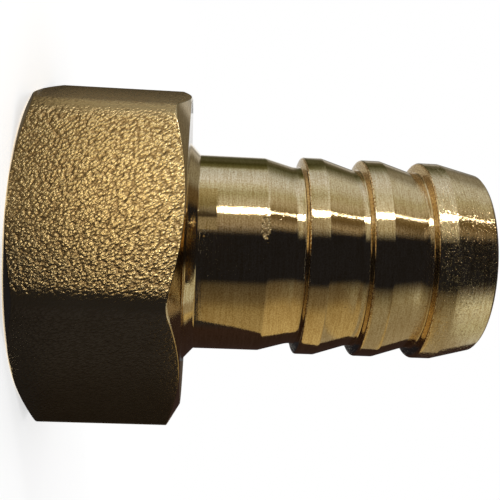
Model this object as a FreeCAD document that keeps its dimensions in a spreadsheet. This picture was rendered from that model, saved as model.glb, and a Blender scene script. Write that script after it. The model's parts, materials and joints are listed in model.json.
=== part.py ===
# Hose nipple: a forged hexagon with a female pipe thread, turned in one piece with a barbed hose tail.
# Millimetres. The hexagon's mouth stands on z = 0 and the hose tail points up along +Z.
import math
import os

import FreeCAD
import Part
import Sketcher

doc = FreeCAD.newDocument("HoseNipple")

# Driving dimensions
SIZES = {
    # Hexagon
    "across_flats": 31.0,
    "hex_height": 14.8,
    "corner_radius": 2.5,
    "chamfer_clip": 0.1,
    "chamfer_angle": 30.0,
    # Threaded socket: pipe thread of nominal three quarters of an inch
    "thread_minor_dia": 24.12,
    "mouth_dia": 26.8,
    "relief_dia": 26.8,
    "relief_width": 1.6,
    "socket_depth": 12.0,
    # Flow bore
    "bore_dia": 15.5,
    "seat_edge": 0.4,
    "bore_edge": 0.3,
    # Plain shank of the hose tail
    "collar_dia": 22.0,
    "collar_height": 1.05,
    "shank_dia": 19.7,
    "shank_length": 7.55,
    "shank_taper_length": 3.6,
    # Barbs
    "root_dia": 17.7,
    "crest_dia": 20.2,
    "barb_pitch": 6.0,
    "barb_shoulder": 0.15,
    "barb_land": 1.9,
    "crest_edge": 0.25,
    "end_barb_length": 6.15,
    "end_dia": 18.3,
    "end_edge": 0.25,
}
BARBS = 3

sheet = doc.addObject("Spreadsheet::Sheet", "Sizes")
for row, (alias, value) in enumerate(SIZES.items(), start=1):
    sheet.set(f"A{row}", alias)
    sheet.set(f"B{row}", str(value))
    sheet.setAlias(f"B{row}", alias)
doc.recompute()


def size(alias):
    """The reference that an expression uses for one cell of the sheet."""
    return f"Sizes.{alias}"


# Places along the axis and radii, as expressions over the sheet
HEX_TOP = size("hex_height")
SHANK_END = f"{HEX_TOP} + {size('shank_length')}"
FIRST_FOOT = f"{SHANK_END} + {size('shank_taper_length')}"
LAST_FOOT = f"{FIRST_FOOT} + {BARBS - 1} * {size('barb_pitch')}"
TAIL_END = f"{LAST_FOOT} + {size('end_barb_length')}"
CORNER_REACH = f"{size('across_flats')} / sqrt(3)"
CHAMFER_RADIUS = f"{size('across_flats')} / 2 - {size('chamfer_clip')}"
CHAMFER_RISE = f"({CORNER_REACH} - {CHAMFER_RADIUS}) * tan({size('chamfer_angle')})"
MINOR_RADIUS = f"{size('thread_minor_dia')} / 2"
MOUTH_RADIUS = f"{size('mouth_dia')} / 2"
RELIEF_RADIUS = f"{size('relief_dia')} / 2"
BORE_RADIUS = f"{size('bore_dia')} / 2"
ROOT_RADIUS = f"{size('root_dia')} / 2"
CREST_RADIUS = f"{size('crest_dia')} / 2"
SHANK_RADIUS = f"{size('shank_dia')} / 2"
COLLAR_RADIUS = f"{size('collar_dia')} / 2"
END_RADIUS = f"{size('end_dia')} / 2"

body = doc.addObject("PartDesign::Body", "HoseNippleBody")
body.Label = "hose_nipple"


def origin_plane(role):
    """One of the body's own origin planes."""
    return next(item for item in body.Origin.OriginFeatures if item.Role == role)


def new_sketch(name, role):
    """An empty sketch of the body on one of its origin planes."""
    sketch = body.newObject("Sketcher::SketchObject", name)
    sketch.AttachmentSupport = [(origin_plane(role), "")]
    sketch.MapMode = "FlatFace"
    return sketch


def value_of(expression):
    """What an expression over the sheet comes to, for a sketch's first guess."""
    return float(sheet.evalExpression(expression))


def profile(name, corners):
    """A closed outline beside the axis: each corner is (radius, height), and None lies on that axis."""
    sketch = new_sketch(name, "XZ_Plane")
    points = []
    for radius, height in corners:
        across = 0.0 if radius is None else value_of(radius)
        along = 0.0 if height is None else value_of(height)
        points.append(FreeCAD.Vector(across, along, 0))
    count = len(points)
    for index, point in enumerate(points):
        sketch.addGeometry(Part.LineSegment(point, points[(index + 1) % count]))
    for index in range(count):
        sketch.addConstraint(Sketcher.Constraint("Coincident", index, 2, (index + 1) % count, 1))
    for index, (radius, height) in enumerate(corners):
        place(sketch, index, "DistanceX", -2, radius, points[index].x)
        place(sketch, index, "DistanceY", -1, height, points[index].y)
    return sketch


def place(sketch, index, kind, axis, expression, guess):
    """Holds the start of one line at a distance from the origin, or on an axis of the sketch."""
    if expression is None:
        sketch.addConstraint(Sketcher.Constraint("PointOnObject", index, 1, axis))
        return
    number = sketch.addConstraint(Sketcher.Constraint(kind, -1, 1, index, 1, guess))
    sketch.setExpression(f"Constraints[{number}]", expression)


def turned(kind, name, sketch):
    """A full turn of a profile about the axis: a Revolution adds metal and a Groove cuts it."""
    feature = body.newObject(kind, name)
    feature.Profile = sketch
    feature.ReferenceAxis = (sketch, ["V_Axis"])
    feature.Angle = 360
    sketch.Visibility = False
    doc.recompute()
    return feature


def hexagon_sketch():
    """A regular hexagon about the axis, with two of its flats square to X."""
    sketch = new_sketch("HexagonSketch", "XY_Plane")
    corner_radius = value_of(f"{size('across_flats')} / sqrt(3)")
    corners = []
    for index in range(6):
        angle = math.radians(90 + 60 * index)
        corners.append(FreeCAD.Vector(corner_radius * math.cos(angle), corner_radius * math.sin(angle), 0))
    for index, corner in enumerate(corners):
        sketch.addGeometry(Part.LineSegment(corner, corners[(index + 1) % 6]))
    circle = sketch.addGeometry(Part.Circle(FreeCAD.Vector(), FreeCAD.Vector(0, 0, 1), corner_radius), True)
    sketch.addConstraint(Sketcher.Constraint("Coincident", circle, 3, -1, 1))
    for index in range(6):
        sketch.addConstraint(Sketcher.Constraint("Coincident", index, 2, (index + 1) % 6, 1))
        sketch.addConstraint(Sketcher.Constraint("PointOnObject", index, 1, circle))
    for index in range(1, 6):
        sketch.addConstraint(Sketcher.Constraint("Equal", 0, index))
    sketch.addConstraint(Sketcher.Constraint("PointOnObject", 0, 1, -2))
    radius = sketch.addConstraint(Sketcher.Constraint("Radius", circle, corner_radius))
    sketch.setExpression(f"Constraints[{radius}]", f"{size('across_flats')} / sqrt(3)")
    return sketch


# Forged hexagon with rounded corners
hexagon = body.newObject("PartDesign::Pad", "Hexagon")
hexagon.Profile = hexagon_sketch()
hexagon.setExpression("Length", size("hex_height"))
doc.recompute()
upright_edges = []
for number, edge in enumerate(hexagon.Shape.Edges, start=1):
    direction = edge.Vertexes[1].Point - edge.Vertexes[0].Point
    if abs(direction.z) > 0.9 * direction.Length:
        upright_edges.append(f"Edge{number}")
corners = body.newObject("PartDesign::Fillet", "HexagonCorners")
corners.Base = (hexagon, upright_edges)
corners.setExpression("Radius", size("corner_radius"))
doc.recompute()

# Turned chamfers: a cone trims the six corners at each end
turned("PartDesign::Groove", "MouthChamfer", profile("MouthChamferSketch", [
    (CHAMFER_RADIUS, None),
    (CORNER_REACH, None),
    (CORNER_REACH, CHAMFER_RISE),
]))
turned("PartDesign::Groove", "ShoulderChamfer", profile("ShoulderChamferSketch", [
    (CHAMFER_RADIUS, HEX_TOP),
    (CORNER_REACH, HEX_TOP),
    (CORNER_REACH, f"{HEX_TOP} - {CHAMFER_RISE}"),
]))

# Hose tail: a short collar cone on the hexagon's face, a plain shank and its taper, then the barbs.
# Each barb has a steep shoulder that faces the hexagon, a broken edge, a cylindrical land and a long cone.
tail = [
    (None, HEX_TOP),
    (COLLAR_RADIUS, HEX_TOP),
    (SHANK_RADIUS, f"{HEX_TOP} + {size('collar_height')}"),
    (SHANK_RADIUS, SHANK_END),
]
for number in range(BARBS):
    foot = f"{FIRST_FOOT} + {number} * {size('barb_pitch')}"
    crest = f"{foot} + {size('barb_shoulder')}"
    tail += [
        (ROOT_RADIUS, foot),
        (f"{CREST_RADIUS} - {size('crest_edge')}", crest),
        (CREST_RADIUS, f"{crest} + {size('crest_edge')}"),
        (CREST_RADIUS, f"{crest} + {size('barb_land')}"),
    ]
tail += [
    (END_RADIUS, f"{TAIL_END} - {size('end_edge')}"),
    (f"{END_RADIUS} - {size('end_edge')}", TAIL_END),
    (None, TAIL_END),
]
turned("PartDesign::Revolution", "HoseTail", profile("HoseTailSketch", tail))

# Socket: a lead-in at the mouth, the wall at the thread's minor diameter, a relief and a flat seat
turned("PartDesign::Groove", "Socket", profile("SocketSketch", [
    (None, None),
    (MOUTH_RADIUS, None),
    (MINOR_RADIUS, f"{MOUTH_RADIUS} - {MINOR_RADIUS}"),
    (MINOR_RADIUS, f"{size('socket_depth')} - {size('relief_width')} - ({RELIEF_RADIUS} - {MINOR_RADIUS})"),
    (RELIEF_RADIUS, f"{size('socket_depth')} - {size('relief_width')}"),
    (RELIEF_RADIUS, size("socket_depth")),
    (None, size("socket_depth")),
]))

# Flow bore: right through the tail, with its edges broken at the seat and at the tail's end
turned("PartDesign::Groove", "FlowBore", profile("FlowBoreSketch", [
    (None, size("socket_depth")),
    (f"{BORE_RADIUS} + {size('seat_edge')}", size("socket_depth")),
    (BORE_RADIUS, f"{size('socket_depth')} + {size('seat_edge')}"),
    (BORE_RADIUS, f"{TAIL_END} - {size('bore_edge')}"),
    (f"{BORE_RADIUS} + {size('bore_edge')}", TAIL_END),
    (None, TAIL_END),
]))

# Nothing is written unless every object is sound
for item in doc.Objects:
    if "Invalid" in item.State or "Error" in item.State:
        raise RuntimeError(f"{item.Label} failed: {item.State}")
shape = body.Shape
if shape.isNull() or not shape.isValid() or len(shape.Solids) != 1:
    raise RuntimeError("hose_nipple is not one valid solid")

os.makedirs("parts", exist_ok=True)
shape.exportStep("parts/hose_nipple.step")
box = shape.optimalBoundingBox()
print(f"hose_nipple: {box.XLength:.2f} x {box.YLength:.2f} x {box.ZLength:.2f} mm, {shape.Volume:.0f} mm3")
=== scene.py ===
# The looks of a brass hose nipple: forged hexagon, cut pipe thread and turned hose tail, in a white studio.
import json
import math

import bpy
import numpy as np
from mathutils import Matrix, Vector


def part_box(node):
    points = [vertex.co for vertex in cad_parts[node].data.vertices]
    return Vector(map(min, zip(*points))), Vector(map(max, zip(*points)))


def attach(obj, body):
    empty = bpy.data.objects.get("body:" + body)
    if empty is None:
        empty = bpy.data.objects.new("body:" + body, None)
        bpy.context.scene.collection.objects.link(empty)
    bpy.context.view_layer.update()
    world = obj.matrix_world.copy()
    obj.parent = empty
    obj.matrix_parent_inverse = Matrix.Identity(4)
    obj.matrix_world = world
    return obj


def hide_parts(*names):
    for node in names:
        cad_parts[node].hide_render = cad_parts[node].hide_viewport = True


bl_info = {
    "name": "Hose Nipple",
    "version": (1, 0, 0),
    "blender": (4, 5, 0),
    "location": "3D View > Sidebar > Hose Nipple",
    "description": "Builds a one-piece brass hose nipple and the studio that it stands in",
    "category": "Object",
}

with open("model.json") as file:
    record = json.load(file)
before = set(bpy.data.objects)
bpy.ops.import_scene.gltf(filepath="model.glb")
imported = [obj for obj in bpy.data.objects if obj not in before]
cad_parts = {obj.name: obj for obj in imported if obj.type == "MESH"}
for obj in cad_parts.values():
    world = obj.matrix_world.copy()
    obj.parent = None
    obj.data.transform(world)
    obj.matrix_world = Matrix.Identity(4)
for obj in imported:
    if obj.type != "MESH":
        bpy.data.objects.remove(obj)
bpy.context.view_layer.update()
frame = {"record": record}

# Lengths are written in millimetres and kept in metres
MM = 0.001
NODE = "hose_nipple"
MOUNTS = {mount["name"]: mount["dims"] for mount in frame["record"]["mounts"]}
LOW_CORNER, HIGH_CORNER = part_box(NODE)
BARBS = 3


def length(name, millimetres, description):
    """A size in metres, whose default is given in millimetres."""
    return bpy.props.FloatProperty(
        name=name, description=description, default=millimetres * MM, min=0.0, precision=5, unit="LENGTH"
    )


def angle(name, degrees, description):
    """An angle in radians, whose default is given in degrees."""
    return bpy.props.FloatProperty(
        name=name, description=description, default=math.radians(degrees), subtype="ANGLE", unit="ROTATION"
    )


def colour(name, rgb, description):
    """A linear colour."""
    return bpy.props.FloatVectorProperty(
        name=name, description=description, default=rgb, size=3, min=0.0, max=1.0, subtype="COLOR"
    )


def point(name, millimetres, description):
    """A place in metres, whose default is given in millimetres."""
    return bpy.props.FloatVectorProperty(
        name=name, description=description, default=[part * MM for part in millimetres], size=3, precision=5,
        unit="LENGTH",
    )


class HoseNippleSizes(bpy.types.PropertyGroup):
    """Sizes of the fitting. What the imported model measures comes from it."""

    across_flats: length("Across Flats", (HIGH_CORNER.x - LOW_CORNER.x) / MM, "Width of the hexagon")
    overall_height: length("Overall Height", (HIGH_CORNER.z - LOW_CORNER.z) / MM, "From mouth to tail end")
    hexagon_height: length("Hexagon Height", 14.8, "Length of the hexagon along the axis")
    corner_round: length("Corner Round", 2.5, "Radius of the hexagon's six corners")
    chamfer_clip: length("Chamfer Clip", 0.1, "How far inside the flats the chamfers start")
    chamfer_angle: angle("Chamfer Angle", 30.0, "Slope of the turned chamfers at both ends")
    minor_radius: length("Thread Minor Radius", MOUNTS["thread_socket"]["r_mm"], "Crests of the thread")
    thread_depth: length("Thread Depth", 1.16, "Height of the thread form")
    thread_pitch: length("Thread Pitch", 1.814, "Rise of the thread in one turn")
    mouth_radius: length("Mouth Radius", 13.4, "Outer radius of the lead-in")
    relief_radius: length("Relief Radius", 13.4, "Radius of the relief behind the thread")
    relief_width: length("Relief Width", 1.6, "Width of the relief behind the thread")
    socket_depth: length("Socket Depth", 12.0, "Depth of the seat from the mouth")
    bore_radius: length("Bore Radius", MOUNTS["flow_bore"]["r_mm"], "Radius of the flow bore")
    seat_edge: length("Seat Edge", 0.4, "Broken edge between seat and bore")
    bore_edge: length("Bore Edge", 0.3, "Broken edge of the bore at the tail end")
    collar_radius: length("Collar Radius", 11.0, "Foot of the short cone on the hexagon's face")
    collar_height: length("Collar Height", 1.05, "Height of that cone")
    shank_radius: length("Shank Radius", 9.85, "Radius of the plain shank")
    shank_length: length("Shank Length", 7.55, "From the hexagon's face to the end of the plain shank")
    taper_length: length("Taper Length", 3.6, "Taper from the shank to the first root")
    root_radius: length("Root Radius", 8.85, "Radius at the foot of each shoulder")
    crest_radius: length("Crest Radius", MOUNTS["hose_tail"]["r_mm"], "Radius of the barbs' lands")
    root_rise: length("Root Rise", 0.19, "How much the cones' hollow run-out lifts the root")
    barb_pitch: length("Barb Pitch", 6.0, "From one shoulder to the next")
    barb_shoulder: length("Barb Shoulder", 0.15, "How far a shoulder leans along the axis")
    barb_land: length("Barb Land", 1.9, "Length of the cylindrical land")
    end_radius: length("End Radius", 9.15, "Radius of the last cone at the tail end")
    end_edge: length("End Edge", 0.25, "Broken edge at the tail end")


class HoseNippleRounds(bpy.types.PropertyGroup):
    """Radii of the small rounds on the fitting's edges."""

    fine: length("Fine Round", 0.06, "Foot of each shoulder and the hexagon's upper rim")
    edge: length("Edge Round", 0.08, "Turned edges that have no other round")
    rim: length("Rim Round", 0.10, "The hexagon's lower rim and the upper end of the bore's edge")
    collar_foot: length("Collar Foot", 0.12, "Between the hexagon's face and the collar")
    collar_top: length("Collar Top", 0.01, "Between collar and shank")
    taper: length("Taper", 0.80, "Between shank and taper")
    run_out: length("Run-out", 3.0, "Hollow in which a cone ends before the next shoulder")
    crest: length("Crest", 0.20, "Between a shoulder and its land")
    land: length("Land", 0.30, "Between a land and its cone")
    relief: length("Relief", 0.15, "Between seat and relief")


class HoseNippleBrass(bpy.types.PropertyGroup):
    """Colours and grain sizes of the brass."""

    bright: colour("Bright Brass", (0.88, 0.73, 0.46), "Freshly turned metal")
    deep: colour("Deep Brass", (0.54, 0.38, 0.17), "Turned metal where it is duller")
    # The torn colour is partly the torn metal's duller tone and partly painted shade on the barbs' shoulders
    torn: colour("Torn Brass", (0.36, 0.20, 0.07), "The barbs' shoulders, where the tool tears the metal")
    skin: colour("Forging Skin", (0.94, 0.74, 0.39), "Peaks of the blasted skin")
    # The colour of the skin's hollows, also given to the turned metal's pits, is painted shade
    hollow_shade: colour("Skin Crevices", (0.30, 0.17, 0.06), "Hollows of the blasted skin")
    grain: length("Skin Grain", 0.23, "Size of one grain of the blasted skin")
    flake: length("Flakes", 0.12, "Size of one flake of torn metal")
    speckle: length("Speckle", 0.12, "Size of the speckle on turned metal")
    inner_speckle: length("Inner Speckle", 0.25, "Size of the speckle inside the socket and bore")
    tool_mark: length("Tool Marks", 0.16, "Distance between fine tool marks")
    inner_mark: length("Inner Tool Marks", 0.2, "Distance between tool marks in the socket and bore")
    cloud: length("Clouds", 4.0, "Size of the slow changes of colour on turned metal")
    skin_cloud: length("Skin Clouds", 5.0, "Size of the slow changes of colour on the skin")
    pit_distance: length("Pit Distance", 1.6, "Distance between the pits")


class HoseNippleStudio(bpy.types.PropertyGroup):
    """Camera and tent of the studio."""

    camera_place: point("Camera", (-21.324, -77.631, 16.145), "Where the camera stands")
    camera_aim: point("Aim", (-0.370, 0.0, 21.293), "The point in the middle of the picture")
    camera_roll: angle("Roll", 3.429, "How far the picture is turned from the fitting's axis")
    focal_length: bpy.props.FloatProperty(
        name="Focal Length", description="Of the lens, for a sensor 36 mm wide", default=56.31, min=1.0,
        unit="CAMERA",
    )
    tent_radius: length("Tent Radius", 300.0, "Radius of the tent of cards that the metal mirrors")


# How finely the wall is cut: columns on each flat and corner, rows down the thread, steps on some rounds
FLAT_COLUMNS = 34
CORNER_COLUMNS = 12
THREAD_ROWS = 108
RIM_STEPS = 3
ROOT_STEPS = 2
CREST_STEPS = 4

# Places of some corners in the wall's outline
LOWER_RIM = 2
UPPER_RIM = 3
FACE_EDGE = 4
FIRST_ROOT = 9
BARB_CORNERS = 4

# Half of the angle that one side of the hexagon takes
HALF_SIDE = math.pi / 6


def angle_from_flat(angles):
    """How far each angle is from the middle of the nearest flat."""
    return np.abs((angles + HALF_SIDE) % (2 * HALF_SIDE) - HALF_SIDE)


def corner_start(sizes):
    """Angle from the middle of a flat to where its corner's round begins."""
    apothem = sizes.across_flats / 2
    return math.atan((apothem - sizes.corner_round) * math.tan(HALF_SIDE) / apothem)


def column_angles(sizes):
    """Angles of the wall's columns, from +X towards +Y: wide steps on flats and narrow ones on corners."""
    turn = corner_start(sizes)
    flat = np.linspace(-turn, turn, FLAT_COLUMNS, endpoint=False)
    corner = np.linspace(turn, 2 * HALF_SIDE - turn, CORNER_COLUMNS, endpoint=False)
    side = np.concatenate([flat, corner])
    return np.concatenate([side + 2 * HALF_SIDE * number for number in range(6)])


def hexagon_reach(angles, sizes):
    """Distance from the axis to the hexagon at each angle.

    On a flat it is the apothem over the cosine of the angle from the flat's middle. On a corner it is where
    the ray meets the circle of the corner's round, whose centre lies on the line through the corner.
    """
    apothem = sizes.across_flats / 2
    from_flat = angle_from_flat(angles)
    flat = apothem / np.cos(from_flat)
    centre = (apothem - sizes.corner_round) / math.cos(HALF_SIDE)
    from_corner = HALF_SIDE - from_flat
    across = np.minimum(centre * np.sin(from_corner), sizes.corner_round)
    corner = centre * np.cos(from_corner) + np.sqrt(sizes.corner_round**2 - across**2)
    return np.where(from_flat <= corner_start(sizes), flat, corner)


def barb_corners(sizes, rounds, number):
    """Four corners of a barb: the end of the cone before it, its root, its crest and the end of its land.

    The cone before it runs out in a hollow, which lifts the root. The lifted root still meets the lines of
    the cone and the shoulder: it starts earlier by the rise over the cone's slope, and ends later by the
    rise times the shoulder's lean.
    """
    depth = sizes.crest_radius - sizes.root_radius
    foot = sizes.hexagon_height + sizes.shank_length + sizes.taper_length + number * sizes.barb_pitch
    crest = foot + sizes.barb_shoulder
    if number:
        slope = depth / (sizes.barb_pitch - sizes.barb_shoulder - sizes.barb_land)
    else:
        slope = (sizes.shank_radius - sizes.root_radius) / sizes.taper_length
    root = sizes.root_radius + sizes.root_rise
    start = foot - sizes.root_rise / slope
    end = foot + sizes.root_rise * sizes.barb_shoulder / depth
    return [
        (root, start, rounds.run_out, 5, 0),
        (root, end, rounds.fine, ROOT_STEPS, 2),
        (sizes.crest_radius, crest, rounds.crest, CREST_STEPS, 4),
        (sizes.crest_radius, crest + sizes.barb_land, rounds.land, 2, 8),
    ]


def outer_corners(sizes, rounds, angles):
    """Corners of the wall's outline on the outside, from the mouth to the tail's end.

    Each is (radius, height, round, steps, rows): where it is, the radius that rounds it, the number of steps
    on that round, and the number of rows between it and the next corner. Radius and height may differ from
    column to column.
    """
    s = sizes
    reach = hexagon_reach(angles, s)
    chamfer = s.across_flats / 2 - s.chamfer_clip
    rise = (reach - chamfer) * math.tan(s.chamfer_angle)
    top = s.hexagon_height
    corners = [
        (s.mouth_radius, 0.0, rounds.edge, 2, 3),
        (chamfer, 0.0, rounds.edge, 3, 3),
        (reach, rise, rounds.rim, RIM_STEPS, 18),
        (reach, top - rise, rounds.fine, RIM_STEPS, 3),
        (chamfer, top, rounds.edge, 3, 5),
        (s.collar_radius, top, rounds.collar_foot, 2, 3),
        (s.shank_radius, top + s.collar_height, rounds.collar_top, 1, 28),
        (s.shank_radius, top + s.shank_length, rounds.taper, 3, 6),
    ]
    for number in range(BARBS):
        corners += barb_corners(s, rounds, number)
    corners += [
        (s.end_radius, s.overall_height - s.end_edge, rounds.edge, 2, 1),
        (s.end_radius - s.end_edge, s.overall_height, rounds.edge, 2, 2),
    ]
    return corners


def inner_corners(sizes, rounds):
    """The same for the inside, from the tail's end down to the thread."""
    s = sizes
    return [
        (s.bore_radius + s.bore_edge, s.overall_height, rounds.edge, 2, 1),
        (s.bore_radius, s.overall_height - s.bore_edge, rounds.edge, 2, 10),
        (s.bore_radius, s.socket_depth + s.seat_edge, rounds.rim, 2, 1),
        (s.bore_radius + s.seat_edge, s.socket_depth, rounds.edge, 2, 5),
        (s.relief_radius, s.socket_depth, rounds.relief, 2, 2),
        (s.relief_radius, s.socket_depth - s.relief_width, 0.0, 0, THREAD_ROWS),
    ]


def rounded_rows(corners, columns):
    """Rows of points along a closed outline with rounded corners, worked out for every column at once.

    A corner's arc touches both sides, so it starts and ends at the radius over the tangent of half the
    corner's angle. Its centre lies as far along both sides' directions as the radius over the sine of the
    whole angle. The points between two arcs lie on the straight side, closer together towards its ends.
    Returns the rows, and which row each corner starts with.
    """
    points = np.empty((len(corners), columns, 2))
    for number, (radius, height, *_) in enumerate(corners):
        points[number, :, 0] = radius
        points[number, :, 1] = height
    rounds = np.array([corner[2] for corner in corners])[:, None, None]
    back = np.roll(points, 1, axis=0) - points
    ahead = np.roll(points, -1, axis=0) - points
    back /= np.linalg.norm(back, axis=2, keepdims=True)
    ahead /= np.linalg.norm(ahead, axis=2, keepdims=True)
    half = np.arccos(np.clip((back * ahead).sum(axis=2, keepdims=True), -1.0, 1.0)) / 2
    first = points + back * rounds / np.tan(half)
    last = points + ahead * rounds / np.tan(half)
    centre = points + (back + ahead) * rounds / np.sin(2 * half)
    start = np.arctan2(*(first - centre)[..., ::-1].transpose(2, 0, 1))
    stop = np.arctan2(*(last - centre)[..., ::-1].transpose(2, 0, 1))
    sweep = (stop - start + math.pi) % (2 * math.pi) - math.pi
    rows = []
    first_row = []
    for number, (_, _, _, arc_steps, side_rows) in enumerate(corners):
        first_row.append(sum(len(block) for block in rows))
        turned = start[number] + np.linspace(0.0, 1.0, arc_steps + 1)[:, None] * sweep[number]
        arc = np.stack([np.cos(turned), np.sin(turned)], axis=-1)
        rows.append(centre[number] + rounds[number] * arc)
        following = first[(number + 1) % len(corners)]
        share = (0.5 - 0.5 * np.cos(np.linspace(0.0, math.pi, side_rows + 2)))[1:-1, None, None]
        rows.append(last[number] + share * (following - last[number]))
    return np.concatenate(rows), first_row


# Middle and width of a thread flank, as shares of half a pitch
FLANK_MIDDLE = 0.5
FLANK_WIDTH = 0.72


def thread_reach(heights, angles, sizes):
    """Radius of the socket's wall where the thread is cut.

    The thread form depends on the height less the rise of the helix at that angle: crests at the minor
    radius, smooth flanks and roots a thread's depth further out. Lead-in and run-out cones cut through it.
    """
    turn = (heights / sizes.thread_pitch - angles / (2 * math.pi)) % 1.0
    from_root = np.abs(turn - 0.5) * 2.0
    form = np.clip((FLANK_MIDDLE - from_root) / FLANK_WIDTH + 0.5, 0.0, 1.0)
    smooth = form * form * (3.0 - 2.0 * form)
    thread = sizes.minor_radius + sizes.thread_depth * smooth
    lead_in = sizes.mouth_radius - heights
    run_out = sizes.relief_radius - (sizes.socket_depth - sizes.relief_width - heights)
    return np.maximum(thread, np.maximum(lead_in, run_out))


def wall_rows(sizes, rounds, angles):
    """Rows of (radius, height) for every column, each corner's first row and the bore's first row."""
    outside = outer_corners(sizes, rounds, angles)
    rows, first_row = rounded_rows(outside + inner_corners(sizes, rounds), len(angles))

    # The last side runs down the socket, and its radius follows the thread
    thread_start = first_row[-1]
    count = len(rows) - thread_start
    down = 1.0 - np.arange(count) / count
    heights = np.repeat(down[:, None], len(angles), axis=1) * (sizes.socket_depth - sizes.relief_width)
    rows[thread_start:, :, 1] = heights
    rows[thread_start:, :, 0] = thread_reach(heights, angles[None, :], sizes)
    return rows, first_row, first_row[len(outside) + 1]


# Millimetres of outline to one unit of the mesh's chart
MARK_SPAN = 100.0


def wall_chart(rows, first_row, angles):
    """Turns round the axis by column, and the way along the outline by row and column, for the mesh's chart.

    Both have one entry more than the wall, so that the last faces close. Where the way over the hexagon is
    shorter, it is stretched to the longest, so that the rings beyond it are level.
    """
    steps = np.linalg.norm(np.roll(rows, -1, axis=0) - rows, axis=2)
    along = np.concatenate([np.zeros((1, steps.shape[1])), np.cumsum(steps, axis=0)])
    start, end = first_row[LOWER_RIM], first_row[FACE_EDGE]
    missing = along[end].max() - along[end]
    share = np.clip((np.arange(len(along)) - start) / (end - start), 0.0, 1.0)
    along += share[:, None] * missing[None, :]
    along = np.concatenate([along, along[:, :1]], axis=1) / MM / MARK_SPAN
    around = np.append(angles, angles[0] + 2 * math.pi) / (2 * math.pi)
    return around, along


# Places of the finishes in the body's list of materials
TURNED, SKIN, CUT, TORN = range(4)


def row_finishes(count, first_row, bore):
    """The finish of each row of faces, told by the corner that it follows.

    Torn metal runs from the last step of a root's round to the end of its crest's round.
    """
    finishes = np.full(count, TURNED, dtype=np.int32)
    finishes[first_row[LOWER_RIM] + RIM_STEPS : first_row[UPPER_RIM]] = SKIN
    finishes[bore:] = CUT
    for number in range(BARBS):
        root = FIRST_ROOT + BARB_CORNERS * number
        finishes[first_row[root] + ROOT_STEPS - 1 : first_row[root + 1] + CREST_STEPS] = TORN
    return finishes


# How smooth the skin is rubbed on the corners and over what width, and on a worn flat and where that faces
RUBBED_CORNER = 0.75
RUB_WIDTH = 1.4 * MM
RUBBED_FLAT = 0.55
WORN_FLAT = math.radians(300.0)


def rubbed_share(angles, sizes):
    """How smooth the skin is rubbed in each column, from none to one."""
    beyond_flat = (np.tan(angle_from_flat(angles)) - math.tan(corner_start(sizes))) * sizes.across_flats / 2
    corners = np.clip(beyond_flat / RUB_WIDTH, 0.0, 1.0) * RUBBED_CORNER
    from_worn = np.abs((angles - WORN_FLAT + math.pi) % (2 * math.pi) - math.pi)
    return np.maximum(corners, np.where(from_worn < HALF_SIDE, RUBBED_FLAT, 0.0))


def build_wall(sizes, rounds):
    """The whole fitting as one closed wall: its outline at every angle, carried once round the axis.

    A point lies at (radius times cosine, radius times sine, height). Rows and columns both close on
    themselves, so the mesh has no edge. Returns points, faces, chart, finishes and rubbed shares.
    """
    angles = column_angles(sizes)
    rows, first_row, bore = wall_rows(sizes, rounds, angles)
    count, columns = rows.shape[:2]
    radius = rows[..., 0]
    places = np.stack([radius * np.cos(angles), radius * np.sin(angles), rows[..., 1]], axis=-1)
    row, column = np.meshgrid(np.arange(count), np.arange(columns), indexing="ij")
    face_rows = np.stack([row, row, row + 1, row + 1], axis=-1).reshape(-1, 4)
    face_columns = np.stack([column, column + 1, column + 1, column], axis=-1).reshape(-1, 4)
    quads = face_rows % count * columns + face_columns % columns
    around, along = wall_chart(rows, first_row, angles)
    chart = np.stack([around[face_columns], along[face_rows, face_columns]], axis=-1)
    finishes = np.repeat(row_finishes(count, first_row, bore), columns)
    rubbed = np.broadcast_to(rubbed_share(angles, sizes), (count, columns)).ravel()
    return places.reshape(-1, 3), quads, chart.reshape(-1, 2), finishes, rubbed


def mesh_object(name, places, quads, chart=None, finishes=None, rubbed=None):
    """A mesh object at the origin, from points and four-sided faces.

    The chart has a place for each corner of each face, the finishes a number for each face, and the rubbed
    shares one for each point.
    """
    mesh = bpy.data.meshes.new(name)
    mesh.vertices.add(len(places))
    mesh.vertices.foreach_set("co", places.astype(np.float32).ravel())
    mesh.loops.add(quads.size)
    mesh.loops.foreach_set("vertex_index", quads.astype(np.int32).ravel())
    mesh.polygons.add(len(quads))
    mesh.polygons.foreach_set("loop_start", np.arange(0, quads.size, 4, dtype=np.int32))
    mesh.polygons.foreach_set("use_smooth", np.ones(len(quads), dtype=bool))
    if finishes is not None:
        mesh.polygons.foreach_set("material_index", finishes)
    if chart is not None:
        layer = mesh.uv_layers.new(name="marks")
        layer.data.foreach_set("uv", chart.astype(np.float32).ravel())
    if rubbed is not None:
        worn = mesh.attributes.new("rubbed", "FLOAT", "POINT")
        worn.data.foreach_set("value", rubbed.astype(np.float32))
    mesh.update(calc_edges=True)
    if mesh.validate():
        raise RuntimeError(f"{name} has faces that do not hold together")
    piece = bpy.data.objects.new(name, mesh)
    bpy.context.scene.collection.objects.link(piece)
    return piece


def rgba(rgb):
    """A colour with its alpha."""
    return (*rgb, 1.0)


class Term:
    """One output of a node. Plain arithmetic on it adds Math nodes."""

    def __init__(self, finish, socket):
        self.finish = finish
        self.socket = socket

    def __add__(self, other):
        return self.finish.math("ADD", self, other)

    def __sub__(self, other):
        return self.finish.math("SUBTRACT", self, other)

    def __rsub__(self, other):
        return self.finish.math("SUBTRACT", other, self)

    def __mul__(self, other):
        return self.finish.math("MULTIPLY", self, other)

    def __pow__(self, other):
        return self.finish.math("POWER", self, other)

    def __truediv__(self, other):
        return self.finish.math("DIVIDE", self, other)

    __radd__ = __add__
    __rmul__ = __mul__


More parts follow.
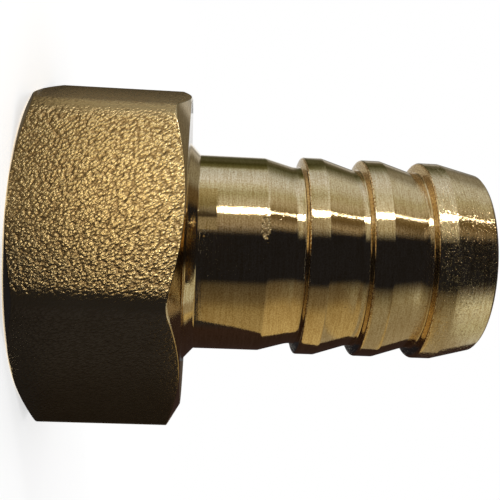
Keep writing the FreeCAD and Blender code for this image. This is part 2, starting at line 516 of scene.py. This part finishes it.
class Finish:
    """A node tree that is being written: a material's or the world's."""

    def __init__(self, owner):
        owner.use_nodes = True
        self.owner = owner
        self.tree = owner.node_tree
        self.tree.nodes.clear()

    def node(self, kind, settings=None, inputs=None, output=None):
        """Adds a node: first its settings, then the values or links of its sockets.

        Returns the output of that name, or else the first one, or None where the node has no output.
        """
        node = self.tree.nodes.new(kind)
        for name, value in (settings or {}).items():
            if name == "stops":
                self.set_stops(node.color_ramp, value)
            else:
                setattr(node, name, value)
        sockets = {socket.identifier: socket for socket in node.inputs}
        for name, value in (inputs or {}).items():
            if isinstance(value, Term):
                self.tree.links.new(value.socket, sockets[name])
            else:
                sockets[name].default_value = value
        if not node.outputs:
            return None
        found = [socket for socket in node.outputs if output in (None, socket.identifier, socket.name)]
        return Term(self, found[0])

    @staticmethod
    def set_stops(ramp, stops):
        """Gives a colour ramp its stops, each (place, colour)."""
        while len(ramp.elements) > 1:
            ramp.elements.remove(ramp.elements[-1])
        for number, (place, rgb) in enumerate(stops):
            element = ramp.elements[0] if number == 0 else ramp.elements.new(place)
            element.position = place
            element.color = rgba(rgb)

    def place(self):
        """The place on the object."""
        return self.node("ShaderNodeTexCoord", None, None, "Object")

    def part(self, vector, axis):
        """One part of a vector."""
        return self.node("ShaderNodeSeparateXYZ", None, {"Vector": vector}, axis)

    def math(self, operation, first, second=0.0, clamp=False):
        """A Math node on two terms or numbers."""
        settings = {"operation": operation, "use_clamp": clamp}
        return self.node("ShaderNodeMath", settings, {"Value": first, "Value_001": second})

    def vector(self, operation, first, second=(0.0, 0.0, 0.0), output="Vector"):
        """A Vector Math node on two vectors."""
        inputs = {"Vector": first, "Vector_001": second}
        return self.node("ShaderNodeVectorMath", {"operation": operation}, inputs, output)

    def span(self, value, low, high, start=0.0, stop=1.0):
        """Carries the range low to high over to start to stop, smoothly and without leaving it."""
        inputs = {"Value": value, "From Min": low, "From Max": high, "To Min": start, "To Max": stop}
        return self.node("ShaderNodeMapRange", {"interpolation_type": "SMOOTHSTEP"}, inputs)

    def blend(self, factor, first, second):
        """Mixes two colours."""
        inputs = {"Factor_Float": factor, "A_Color": first, "B_Color": second}
        return self.node("ShaderNodeMix", {"data_type": "RGBA"}, inputs, "Result_Color")

    def noise(self, vector, size, detail=2.0, roughness=0.5, output="Fac"):
        """Noise about one half, on a vector, with waves of about that size."""
        inputs = {"Vector": vector, "Scale": 1.0 / size, "Detail": detail, "Roughness": roughness}
        return self.node("ShaderNodeTexNoise", None, inputs, output)

    def cells(self, vector, size, output="Distance"):
        """Cells of about that size: the distance from the nearest middle, or that middle, or its colour."""
        return self.node("ShaderNodeTexVoronoi", None, {"Vector": vector, "Scale": 1.0 / size}, output)

    def bump(self, height, distance):
        """A normal that follows a height, whose unit is so many metres."""
        inputs = {"Height": height, "Distance": distance, "Strength": 1.0}
        return self.node("ShaderNodeBump", None, inputs)

    def surface(self, shader):
        """Closes a material's tree with its surface, and returns the material."""
        self.node("ShaderNodeOutputMaterial", None, {"Surface": shader})
        return self.owner

    def metal(self, base, roughness, normal):
        """Closes a material's tree with a metal surface, and returns the material."""
        inputs = {"Base Color": base, "Roughness": roughness, "Normal": normal, "Metallic": 1.0}
        return self.surface(self.node("ShaderNodeBsdfPrincipled", None, inputs))


def tool_vector(finish, drift):
    """A vector for turned marks: millimetres along the outline, and a drift of so much round the axis."""
    chart = finish.node("ShaderNodeUVMap", {"uv_map": "marks"})
    along = finish.part(chart, "Y") * MARK_SPAN
    across = finish.vector("MULTIPLY", finish.place(), (1.0, 1.0, 0.0))
    direction = finish.vector("MULTIPLY", finish.vector("NORMALIZE", across), (drift, drift, 0.0))
    return finish.vector("ADD", direction, finish.node("ShaderNodeCombineXYZ", None, {"Z": along}))


# Flakes of torn metal: how far the steepest lean, and between which heights they set in
FLAKE_LEAN = 0.20
FLAKE_FROM = 36.5 * MM
FLAKE_TO = 39.5 * MM


def flake_height(finish, place, brass):
    """Small facets of torn metal near the tail's end.

    A facet's height is the product of the place from its middle and a lean drawn by chance, and the cube of
    another chance keeps steep ones rare.
    """
    middle = finish.cells(place, brass.flake, "Position")
    chance = finish.cells(place, brass.flake, "Color")
    from_middle = finish.vector("SUBTRACT", place, middle)
    lean = finish.vector("SUBTRACT", chance, (0.5, 0.5, 0.5))
    facet = finish.vector("DOT_PRODUCT", from_middle, lean, "Value")
    rare = finish.part(chance, "Z") ** 3.0
    return facet * rare * finish.span(finish.part(place, "Z"), FLAKE_FROM, FLAKE_TO, 0.0, FLAKE_LEAN)


# A small nick on the edge between shank and taper: its middle, its half lengths and the size of its grain
NICK_PLACE = (-4.9 * MM, -8.5 * MM, 22.1 * MM)
NICK_SPREAD = (0.75 / MM, 0.75 / MM, 2.2 / MM)
NICK_GRAIN = 0.17 * MM


def nick_mask(finish, place):
    """One in the hollows of the nick, and none elsewhere."""
    offset = finish.vector("MULTIPLY", finish.vector("SUBTRACT", place, NICK_PLACE), NICK_SPREAD)
    spread = finish.vector("LENGTH", offset, output="Value")
    return finish.span(spread, 1.0, 0.5) * finish.span(finish.noise(place, NICK_GRAIN, 0.0), 0.48, 0.60)


# Heights of the marks on the metal
RING_HEIGHT = 0.0030 * MM
SPECKLE_HEIGHT = 0.0032 * MM
NICK_DEPTH = 0.08 * MM
PIT_DEPTH = 0.005 * MM
GRIT_HEIGHT = 0.011 * MM
INNER_MARK_HEIGHT = 0.006 * MM
SKIN_HEIGHT = 0.11 * MM


def turned_brass(brass):
    """Brass as it leaves the lathe: fine rings, a speckle of torn metal, flakes, a nick and a few pits,
    which are painted dark as shade.
    """
    finish = Finish(bpy.data.materials.new("turned_brass"))
    place = finish.place()
    rings = finish.noise(tool_vector(finish, 0.6), brass.tool_mark / MM, 3.0, 0.7)
    speckle = finish.noise(place, brass.speckle, 1.0)
    cloud = finish.noise(place, brass.cloud)
    pits = finish.span(finish.cells(place, brass.pit_distance), 0.06, 0.03)
    speckled = finish.span(speckle, 0.42, 0.60) * 0.55
    ringed = finish.span(rings, 0.36, 0.64) * 0.42
    base = finish.blend(finish.math("ADD", speckled, ringed, True), rgba(brass.bright), rgba(brass.deep))
    base = finish.blend(finish.span(cloud, 0.3, 0.7) * 0.2, base, rgba(brass.deep))
    # Painted shade: the pits take the hollows' dark colour
    base = finish.blend(pits * 0.8, base, rgba(brass.hollow_shade))
    roughness = 0.045 + finish.span(speckle, 0.5, 0.7) * 0.05
    marks = rings * RING_HEIGHT + speckle * SPECKLE_HEIGHT + flake_height(finish, place, brass)
    hollows = nick_mask(finish, place) * NICK_DEPTH + pits * PIT_DEPTH
    return finish.metal(base, roughness, finish.bump(marks - hollows, 1.0))


def shaded_torn_brass(brass):
    """The barbs' shoulders: coarse and grainy, because the tool cuts them end on, and painted dark as the
    shade on these steep faces.
    """
    finish = Finish(bpy.data.materials.new("shaded_torn_brass"))
    grit = finish.noise(finish.place(), brass.speckle, 1.0, 0.6)
    # Painted shade: the shoulders are dark torn brass, flecked with bright brass by the grit
    base = finish.blend(finish.span(grit, 0.43, 0.58), rgba(brass.torn), rgba(brass.bright))
    roughness = 0.05 + finish.span(grit, 0.3, 0.7) * 0.06
    return finish.metal(base, roughness, finish.bump(grit, GRIT_HEIGHT))


# The skin's grains: how they lean and stretch, and how far and at what size their outlines wander
GRAIN_LEAN = (0.0, math.radians(40.0), 0.0)
GRAIN_STRETCH = (1.0, 1.0, 0.6)
GRAIN_WANDER = (0.22 * MM, 0.22 * MM, 0.22 * MM)
WANDER_SIZE = 0.4 * MM
FINE_SIZE = 0.14 * MM
SWELL_SIZE = 1.1 * MM


def forged_skin(brass):
    """Blasted forging skin: close rounded grains that lean one way, with hollows between them that are
    painted dark as shade.

    A grain's height falls with the square of the distance from its middle. Where the skin is rubbed, grains
    and hollows fade.
    """
    finish = Finish(bpy.data.materials.new("forged_skin"))
    place = finish.place()
    rough_part = 1.0 - finish.node("ShaderNodeAttribute", {"attribute_name": "rubbed"}, None, "Fac")
    turned = finish.node("ShaderNodeMapping", None, {"Vector": place, "Rotation": GRAIN_LEAN})
    leaning = finish.vector("MULTIPLY", turned, GRAIN_STRETCH)
    wander = finish.vector("MULTIPLY", finish.noise(leaning, WANDER_SIZE, output="Color"), GRAIN_WANDER)
    cell = finish.cells(finish.vector("ADD", wander, leaning), brass.grain)
    fine = finish.noise(place, FINE_SIZE, 2.0, 0.6)
    swell = finish.noise(leaning, SWELL_SIZE)
    cloud = finish.noise(place, brass.skin_cloud)
    # Painted shade: where the grains are low, the colour darkens towards the hollows' dark colour
    hollow = finish.span(cell + (fine - 0.5) * 0.4, 0.30, 0.68) * rough_part
    base = finish.blend(hollow * 0.7, rgba(brass.skin), rgba(brass.hollow_shade))
    base = finish.blend(finish.span(cloud, 0.4, 0.7) * 0.3, base, rgba(brass.deep))
    roughness = 0.20 + hollow * 0.25
    height = (1.0 - cell * cell + fine * 0.6 + swell * 0.8) * rough_part
    return finish.metal(base, roughness, finish.bump(height, SKIN_HEIGHT))


def cut_brass(brass):
    """The inside: thread, seat and bore, a little rougher than the outside and with coarser marks."""
    finish = Finish(bpy.data.materials.new("cut_brass"))
    rings = finish.noise(tool_vector(finish, 0.5), brass.inner_mark / MM, 3.0, 0.7)
    speckle = finish.noise(finish.place(), brass.inner_speckle, 2.0, 0.6)
    base = finish.blend(finish.span(speckle, 0.3, 0.7), rgba(brass.bright), rgba(brass.deep))
    roughness = 0.22 + finish.span(rings, 0.3, 0.7) * 0.12
    return finish.metal(base, roughness, finish.bump(rings + speckle * 0.4, INNER_MARK_HEIGHT))


class HOSENIPPLE_OT_body(bpy.types.Operator):
    """Build the brass body with its hexagon, thread, bore and barbed tail"""

    bl_idname = "hosenipple.body"
    bl_label = "Brass Body"

    def execute(self, context):
        scene = context.scene
        brass = scene.hose_nipple_brass
        wall = build_wall(scene.hose_nipple_sizes, scene.hose_nipple_rounds)
        piece = mesh_object("brass_body", *wall)
        # In the order of TURNED, SKIN, CUT and TORN
        for material in (turned_brass(brass), forged_skin(brass), cut_brass(brass), shaded_torn_brass(brass)):
            piece.data.materials.append(material)
        smooth = piece.modifiers.new("even_shading", "WEIGHTED_NORMAL")
        smooth.weight = 100
        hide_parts(NODE)
        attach(piece, "root")
        return {"FINISHED"}


def stage_card(name, places, quads, material):
    """A piece of the studio that is not part of the object."""
    card = mesh_object(name, places, quads)
    card.data.materials.append(material)
    return card


def only_mirrored(card):
    """Lets only the metal's reflections see a card."""
    for kind in ("camera", "diffuse", "shadow", "transmission", "volume_scatter"):
        setattr(card, f"visible_{kind}", False)


def sheet_grid(rows, columns):
    """Faces of a grid of points with so many rows and columns."""
    row, column = np.meshgrid(np.arange(rows - 1), np.arange(columns - 1), indexing="ij")
    corner = row * columns + column
    return np.stack([corner, corner + 1, corner + columns + 1, corner + columns], axis=-1).reshape(-1, 4)


def bearing_point(bearing, radius, height):
    """A point at a bearing in degrees from -Y towards -X, with radius and height given in millimetres."""
    turn = np.radians(bearing)
    return np.stack([-radius * np.sin(turn), -radius * np.cos(turn), height + 0.0 * turn], axis=-1) * MM


# Along a card and up the dome, this many points
CARD_COLUMNS = 121
DOME_ROWS = 31


def ring_card(name, bearings, radii, heights, material, rise=None):
    """A card that follows a ring about the axis, from a first radius and height to a second one.

    Lengths are in millimetres, and a rise is added to the second height at each bearing.
    """
    bearing, share = np.meshgrid(np.linspace(*bearings, CARD_COLUMNS), np.array([0.0, 1.0]))
    radius = radii[0] + share * (radii[1] - radii[0])
    height = heights[0] + share * (heights[1] - heights[0])
    if rise is not None:
        height += share * rise(bearing)
    places = bearing_point(bearing, radius, height).reshape(-1, 3)
    only_mirrored(stage_card(name, places, sheet_grid(2, CARD_COLUMNS), material))


def tent_dome(radius, foot, material):
    """Half a sphere: a ring's radius follows the cosine of its lift, and its height the sine."""
    lifts = np.radians(np.linspace(0.0, 90.0, DOME_ROWS))
    bearing, lift = np.meshgrid(np.linspace(-180.0, 180.0, CARD_COLUMNS), lifts)
    places = bearing_point(bearing, radius * np.cos(lift), radius * np.sin(lift) + foot).reshape(-1, 3)
    only_mirrored(stage_card("tent_dome", places, sheet_grid(DOME_ROWS, CARD_COLUMNS), material))


def scaled_look(look, gain):
    """A look with all its colours brightened or dimmed."""
    return [(bearing, tuple(gain * part for part in rgb)) for bearing, rgb in look]


# A look is what a card shows at each bearing in degrees: a painted reflection, which only the metal's mirror
# images see. The tent's looks, from level rays up to steep ones
BLACK = (0.015, 0.015, 0.02)
WHITE = (1.0, 1.0, 1.0)
LEVEL_LOOK = [
    (-180, WHITE),
    (-160, (0.10, 0.10, 0.10)),
    (-130, BLACK),
    (36, BLACK),
    (47, (0.35, 0.30, 0.24)),
    (58, (0.38, 0.33, 0.24)),
    (72, (0.62, 0.61, 0.54)),
    (87, (0.42, 0.41, 0.29)),
    (97, (0.64, 0.66, 0.62)),
    (107, (0.73, 0.78, 0.90)),
    (124, (0.56, 0.61, 0.68)),
    (128, (0.50, 0.54, 0.52)),
    (132, (0.16, 0.16, 0.08)),
    (142, (0.05, 0.05, 0.015)),
    (151, (0.09, 0.09, 0.05)),
    (162, (0.07, 0.07, 0.03)),
    (171, (0.20, 0.20, 0.17)),
    (177, WHITE),
]
MIDDLE_LOOK = [
    (-180, (0.30, 0.30, 0.27)),
    (-150, (0.10, 0.10, 0.09)),
    (-130, BLACK),
    (36, BLACK),
    (47, (0.50, 0.47, 0.37)),
    (60, (0.58, 0.55, 0.46)),
    (72, (0.78, 0.78, 0.74)),
    (90, (0.66, 0.69, 0.68)),
    (107, (0.73, 0.78, 0.90)),
    (124, (0.58, 0.63, 0.70)),
    (137, (0.22, 0.23, 0.18)),
    (148, (0.07, 0.07, 0.03)),
    (160, (0.12, 0.11, 0.07)),
    (168, (0.50, 0.48, 0.44)),
    (178, (0.20, 0.20, 0.18)),
]
HIGH_LOOK = [
    (-180, (0.30, 0.30, 0.27)),
    (-140, (0.13, 0.10, 0.06)),
    (-128, BLACK),
    (45, BLACK),
    (54, (0.36, 0.30, 0.22)),
    (63, (0.14, 0.10, 0.05)),
    (70, (0.20, 0.15, 0.08)),
    (77, (0.36, 0.31, 0.21)),
    (84, (0.50, 0.46, 0.37)),
    (97, (0.50, 0.49, 0.38)),
    (112, (0.60, 0.62, 0.62)),
    (126, (0.60, 0.63, 0.63)),
    (141, (0.27, 0.26, 0.22)),
    (154, (0.27, 0.25, 0.19)),
    (163, (0.17, 0.15, 0.11)),
    (170, (0.20, 0.185, 0.16)),
]
TOP_LOOK = [
    (-180, (0.30, 0.30, 0.27)),
    (-140, (0.13, 0.10, 0.06)),
    (-128, BLACK),
    (45, BLACK),
    (75, (0.20, 0.15, 0.08)),
    (120, (0.14, 0.10, 0.05)),
    (160, (0.12, 0.09, 0.05)),
    (172, (0.18, 0.155, 0.125)),
]
TENT_BANDS = [
    (60, LEVEL_LOOK),
    (90, MIDDLE_LOOK),
    (130, MIDDLE_LOOK),
    (165, HIGH_LOOK),
    (222, HIGH_LOOK),
    (248, TOP_LOOK),
    (262, TOP_LOOK),
    (277, [(0, BLACK)]),
]

# Painted reflection on the ground under the tent, and painted shade on the dark ground close to the fitting
GROUND_LOOK = [
    (-180, (0.50, 0.45, 0.33)),
    (-170, (0.32, 0.28, 0.20)),
    (-160, BLACK),
    (30, BLACK),
    (48, (0.30, 0.26, 0.18)),
    (58, (0.60, 0.54, 0.40)),
    (62, WHITE),
    (67, WHITE),
    (72, (0.72, 0.66, 0.50)),
    (107, (0.80, 0.74, 0.60)),
    (124, (0.62, 0.56, 0.44)),
    (140, (0.30, 0.26, 0.19)),
    (168, (0.30, 0.25, 0.17)),
    (177, (0.50, 0.45, 0.33)),
]
CLOTH_LOOK = [
    (14, BLACK),
    (28, (0.12, 0.10, 0.07)),
    (60, (0.12, 0.10, 0.07)),
    (90, BLACK),
]

# The side card, a glowing card whose looks paint the reflections on the lower half of the tail, which
# mirrors it
WARM_LOOK = [
    (-108, (0.22, 0.16, 0.09)),
    (-98, (0.55, 0.44, 0.22)),
    (-50, (0.42, 0.33, 0.17)),
    (-40, (0.36, 0.28, 0.14)),
    (-28, (0.18, 0.14, 0.08)),
    (-14, (0.11, 0.09, 0.06)),
    (-9, BLACK),
]
PALE_LOOK = [
    (-108, (0.22, 0.17, 0.10)),
    (-98, (0.38, 0.33, 0.23)),
    (-60, (0.32, 0.28, 0.20)),
    (-30, (0.31, 0.28, 0.20)),
    (-22, (0.22, 0.20, 0.14)),
    (-14, (0.10, 0.09, 0.07)),
    (-9, BLACK),
]
COOL_LOOK = [
    (-108, (0.26, 0.20, 0.12)),
    (-98, (0.55, 0.55, 0.50)),
    (-60, (0.55, 0.56, 0.44)),
    (-42, (0.62, 0.62, 0.53)),
    (-34, (0.70, 0.72, 0.62)),
    (-25, (0.48, 0.49, 0.43)),
    (-14, (0.12, 0.11, 0.10)),
    (-8, BLACK),
]
DIM_LOOK = scaled_look(WARM_LOOK, 0.85)
RICH_LOOK = scaled_look(WARM_LOOK, 1.15)
SIDE_BANDS = [
    (23, DIM_LOOK),
    (28, RICH_LOOK),
    (33, RICH_LOOK),
    (36, PALE_LOOK),
    (37.3, PALE_LOOK),
    (38.2, WARM_LOOK),
    (42, WARM_LOOK),
    (43.5, PALE_LOOK),
    (50, PALE_LOOK),
    (54, COOL_LOOK),
]

# The foot card, a glowing card that paints the bright reflection on the hexagon's flat that mirrors it
FOOT_LOOK = [
    (17, BLACK),
    (19.5, (0.11, 0.08, 0.055)),
    (22, (0.38, 0.30, 0.19)),
    (26, (1.00, 0.83, 0.52)),
    (36, (1.00, 0.85, 0.56)),
    (43, (0.85, 0.74, 0.50)),
    (53, (0.60, 0.53, 0.40)),
    (63, (0.36, 0.33, 0.27)),
    (75, (0.24, 0.225, 0.20)),
    (100, (0.18, 0.17, 0.15)),
    (126, (0.024, 0.022, 0.018)),
    (150, (0.024, 0.024, 0.024)),
]
FOOT_END_LOOK = [
    (20, BLACK),
    (45, (0.03, 0.024, 0.016)),
    (60, (0.10, 0.08, 0.055)),
    (80, (0.225, 0.20, 0.15)),
    (104, (0.23, 0.21, 0.17)),
    (118, (0.06, 0.055, 0.045)),
    (126, (0.024, 0.022, 0.018)),
]
FOOT_BANDS = [(-0.5, FOOT_END_LOOK), (10.0, FOOT_LOOK)]

# The small card beside the collar, a painted reflection that the shank's first millimetres mirror, darkest
# in its middle
COLLAR_LOOK = [
    (30, (0.29, 0.25, 0.175)),
    (37.8, (0.29, 0.25, 0.175)),
    (39, (0.05, 0.038, 0.024)),
    (41.5, (0.055, 0.042, 0.025)),
    (44, (0.12, 0.10, 0.05)),
    (48, (0.22, 0.19, 0.095)),
    (56, (0.38, 0.34, 0.21)),
    (60, (0.46, 0.43, 0.30)),
]

# The black flag, a near-black glowing card: painted shade on the hexagon's dark flat and the lowest strip of
# the tail, which mirror it
FLAG_LOOK = [
    (-90, (0.034, 0.021, 0.019)),
    (-65, (0.038, 0.023, 0.021)),
    (-55, (0.028, 0.026, 0.030)),
    (-20, (0.025, 0.025, 0.034)),
    (0, BLACK),
]
FLAG_FOOT_LOOK = [
    (-100, (0.16, 0.13, 0.09)),
    (-78, (0.014, 0.012, 0.012)),
    (-65, (0.014, 0.012, 0.012)),
    (-50, (0.017, 0.015, 0.016)),
    (-40, (0.028, 0.028, 0.036)),
    (-20, (0.025, 0.025, 0.034)),
    (0, BLACK),
]
FLAG_BANDS = [(14, FLAG_FOOT_LOOK), (16, FLAG_LOOK)]

# Height of the flag's top edge in millimetres at each bearing. Beyond the last it stays level
FLAG_TOP = [
    (-105, 57), (-99, 54), (-95, 50), (-92, 42), (-88, 36), (-85, 32),
    (-83, 30), (-78, 27.5), (-73, 25), (-64, 22), (-60, 20.5), (-52, 16.2),
]

# Strengths of the world's light, the floor's glow, the foot card and the lamps' faces, where 1 is white
AMBIENT = 0.5
FLOOR_GLOW = 0.6
FOOT_GLOW = 1.25
KEY_GLOW = 12.0


def flag_rise(bearing):
    """How much higher than its last point the black flag's top edge is at each bearing."""
    corners = np.array(FLAG_TOP)
    return np.interp(bearing, corners[:, 0], corners[:, 1]) - corners[-1, 1]


def turn_share(bearing):
    """A bearing in degrees as a share of one turn that starts at -180 degrees."""
    return (bearing + 180.0) / 360.0


def look_colour(finish, turn, look):
    """The colour that a look has at a bearing, given as its share of a turn."""
    stops = [(turn_share(bearing), rgb) for bearing, rgb in look]
    return finish.node("ShaderNodeValToRGB", {"stops": stops}, {"Fac": turn})


def glowing_card(name, bands, strength=1.0):
    """A card that glows, though it is no lamp, to paint the metal's reflections. Each band is a height in
    millimetres and its look, and looks change smoothly.
    """
    finish = Finish(bpy.data.materials.new(name))
    place = finish.place()
    west = finish.part(place, "X") * -1.0
    south = finish.part(place, "Y") * -1.0
    turn = turn_share(finish.math("ARCTAN2", west, south) * (180.0 / math.pi))
    shown = look_colour(finish, turn, bands[0][1])
    for (low, look_below), (high, look) in zip(bands, bands[1:]):
        if look is not look_below:
            climb = finish.span(finish.part(place, "Z"), low * MM, high * MM)
            shown = finish.blend(climb, shown, look_colour(finish, turn, look))
    return finish.surface(finish.node("ShaderNodeEmission", None, {"Color": shown, "Strength": strength}))


def background_seen(finish):
    """One where a ray comes from the camera, a mirror image or glass, and none elsewhere."""
    seen = finish.node("ShaderNodeLightPath", None, None, "Is Camera Ray")
    for kind in ("Is Glossy Ray", "Is Transmission Ray"):
        seen = finish.math("MAXIMUM", seen, finish.node("ShaderNodeLightPath", None, None, kind))
    return seen


def light_world(world):
    """A white background wherever it is seen, and a plain grey light elsewhere."""
    finish = Finish(world)
    strength = AMBIENT + background_seen(finish) * (1.0 - AMBIENT)
    background = finish.node("ShaderNodeBackground", None, {"Color": rgba(WHITE), "Strength": strength})
    finish.node("ShaderNodeOutputWorld", None, {"Surface": background})


def floor_material():
    """A white floor that glows where it is seen, so that it meets the background and keeps its shadow."""
    finish = Finish(bpy.data.materials.new("studio_floor"))
    cloth = finish.node("ShaderNodeBsdfDiffuse", None, {"Color": (0.8, 0.8, 0.8, 1.0)})
    glow = finish.node("ShaderNodeEmission", None, {"Strength": background_seen(finish) * FLOOR_GLOW})
    return finish.surface(finish.node("ShaderNodeAddShader", None, {"Shader": cloth, "Shader_001": glow}))


def lay_floor():
    """A wide flat floor under the fitting."""
    reach = 3.0
    side = np.array([-reach, reach])
    across, along = np.meshgrid(side, side)
    places = np.stack([across, along, np.zeros((2, 2))], axis=-1).reshape(-1, 3)
    stage_card("floor", places, sheet_grid(2, 2), floor_material())


def pitch_tent(studio):
    """Glowing cards that paint the metal's reflections and shade: a dome and two cards on the ground, then
    the cards that stand close round the fitting.

    Each card is given by its bearings, its first and second radius and its first and second height.
    """
    reach = studio.tent_radius / MM
    whole = (-180.0, 180.0)
    # Painted reflection: the dome and the ground card glow only in the metal's mirror images
    tent_dome(reach, 1.0, glowing_card("tent_painted_reflection", TENT_BANDS))
    ground = glowing_card("ground_painted_reflection", [(0, GROUND_LOOK)])
    ring_card("tent_ground", whole, (25.0, reach), (0.05, 0.05), ground)
    # Painted shade: a near-black ring on the ground close to the fitting, which only the metal mirrors
    dark = glowing_card("foot_painted_shade", [(0, CLOTH_LOOK)])
    ring_card("foot_ground", whole, (15.6, 25.0), (0.05, 0.05), dark)
    # Painted reflection: the foot card glows brighter than white to make the hexagon's flat bright
    foot = glowing_card("foot_painted_reflection", FOOT_BANDS, FOOT_GLOW)
    ring_card("foot_card", (13.0, 150.0), (24.0, 24.0), (0.1, 15.2), foot)
    # Painted reflection: the collar card darkens the shank's first millimetres in their mirror image
    dusk = glowing_card("collar_painted_reflection", [(0, COLLAR_LOOK)])
    ring_card("collar_card", (30.0, 62.0), (12.5, 12.5), (14.9, 17.65), dusk)
    # Painted reflection: the side card paints the colours of the tail's lower half
    side = glowing_card("side_painted_reflection", SIDE_BANDS)
    ring_card("side_card", (-126.0, -8.0), (22.6, 22.6), (15.0, 80.0), side)
    # Painted shade: the flag and its shelf are near-black cards that only the metal mirrors, on the
    # hexagon's dark flat, the tail's lowest strip and the shoulders
    black = glowing_card("flag_painted_shade", FLAG_BANDS)
    ring_card("flag_shelf", (-85.0, -2.0), (18.6, 22.0), (15.6, 15.6), black)
    ring_card("black_flag", (-126.0, 13.0), (22.0, 22.0), (0.1, 16.2), black, flag_rise)


# The strips of the key light: lower and upper end, each a bearing, a radius and a height, and the width
KEY_STRIPS = {
    "key_foot": ((64.0, 250.0, 20.0), (64.5, 250.0, 52.0), 27.0),
    "key_strip": ((62.5, 250.0, 53.0), (67.0, 250.0, 152.0), 26.0),
    "key_edge": ((67.5, 225.0, 143.0), (78.0, 167.0, 216.0), 3.0),
}
KEY_AIM = Vector((0.0, 0.0, 20.0 * MM))


def strip_lamp(name, foot, head, width):
    """A strip light that runs from foot to head and faces the fitting.

    Its power is worked out from how bright its face should be, and from its area.
    """
    foot, head = (Vector(bearing_point(np.array(bearing), *rest)) for bearing, *rest in (foot, head))
    light = bpy.data.lights.new(name, "AREA")
    light.shape = "RECTANGLE"
    light.size = width * MM
    light.size_y = (head - foot).length
    light.energy = KEY_GLOW * math.pi * light.size * light.size_y
    strip = bpy.data.objects.new(name, light)
    bpy.context.scene.collection.objects.link(strip)
    up = (head - foot).normalized()
    place = (foot + head) / 2
    away = place - KEY_AIM
    away = (away - away.dot(up) * up).normalized()
    turned = Matrix((up.cross(away), up, away)).transposed()
    strip.matrix_world = Matrix.Translation(place) @ turned.to_4x4()
    strip.visible_camera = False


SENSOR_WIDTH = 36.0


def aim_camera(studio):
    """Stands the camera at its place, with the fitting's axis across the picture and +X at the bottom."""
    data = bpy.data.cameras.new("camera")
    data.sensor_width = SENSOR_WIDTH
    data.lens = studio.focal_length
    data.clip_start = 1.0 * MM
    camera = bpy.data.objects.new("camera", data)
    bpy.context.scene.collection.objects.link(camera)
    place = Vector(studio.camera_place)
    ahead = (Vector(studio.camera_aim) - place).normalized()
    right = ahead.cross(Vector((-1.0, 0.0, 0.0))).normalized()
    level = Matrix((right, right.cross(ahead), -ahead)).transposed()
    turned = level @ Matrix.Rotation(studio.camera_roll, 3, "Z")
    camera.matrix_world = Matrix.Translation(place) @ turned.to_4x4()
    bpy.context.scene.camera = camera


class HOSENIPPLE_OT_studio(bpy.types.Operator):
    """Set up the floor, the tent of cards, the lamps and the camera"""

    bl_idname = "hosenipple.studio"
    bl_label = "Studio"

    def execute(self, context):
        scene = context.scene
        studio = scene.hose_nipple_studio
        scene.world = bpy.data.worlds.new("studio_world")
        light_world(scene.world)
        scene.view_settings.view_transform = "Standard"
        lay_floor()
        pitch_tent(studio)
        for name, strip in KEY_STRIPS.items():
            strip_lamp(name, *strip)
        aim_camera(studio)
        return {"FINISHED"}


class HOSENIPPLE_PT_panel(bpy.types.Panel):
    """Lists what builds the fitting, and its sizes and finishes"""

    bl_label = "Hose Nipple"
    bl_idname = "HOSENIPPLE_PT_panel"
    bl_space_type = "VIEW_3D"
    bl_region_type = "UI"
    bl_category = "Hose Nipple"

    def draw(self, context):
        for operator in OPERATORS:
            self.layout.operator(operator.bl_idname)
        for name in GROUPS:
            group = getattr(context.scene, name)
            column = self.layout.column(align=True)
            for key in type(group).__annotations__:
                column.prop(group, key)


OPERATORS = (HOSENIPPLE_OT_body, HOSENIPPLE_OT_studio)
GROUPS = {
    "hose_nipple_sizes": HoseNippleSizes,
    "hose_nipple_rounds": HoseNippleRounds,
    "hose_nipple_brass": HoseNippleBrass,
    "hose_nipple_studio": HoseNippleStudio,
}
CLASSES = (*GROUPS.values(), *OPERATORS, HOSENIPPLE_PT_panel)


def register():
    """Makes the groups, operators and panel known."""
    for kind in CLASSES:
        bpy.utils.register_class(kind)
    for name, group in GROUPS.items():
        setattr(bpy.types.Scene, name, bpy.props.PointerProperty(type=group))


def unregister():
    """Takes them away again."""
    for name in GROUPS:
        delattr(bpy.types.Scene, name)
    for kind in reversed(CLASSES):
        bpy.utils.unregister_class(kind)


def main():
    """Builds the fitting and its studio."""
    register()
    bpy.ops.hosenipple.body()
    bpy.ops.hosenipple.studio()


if __name__ == "__main__":
    main()
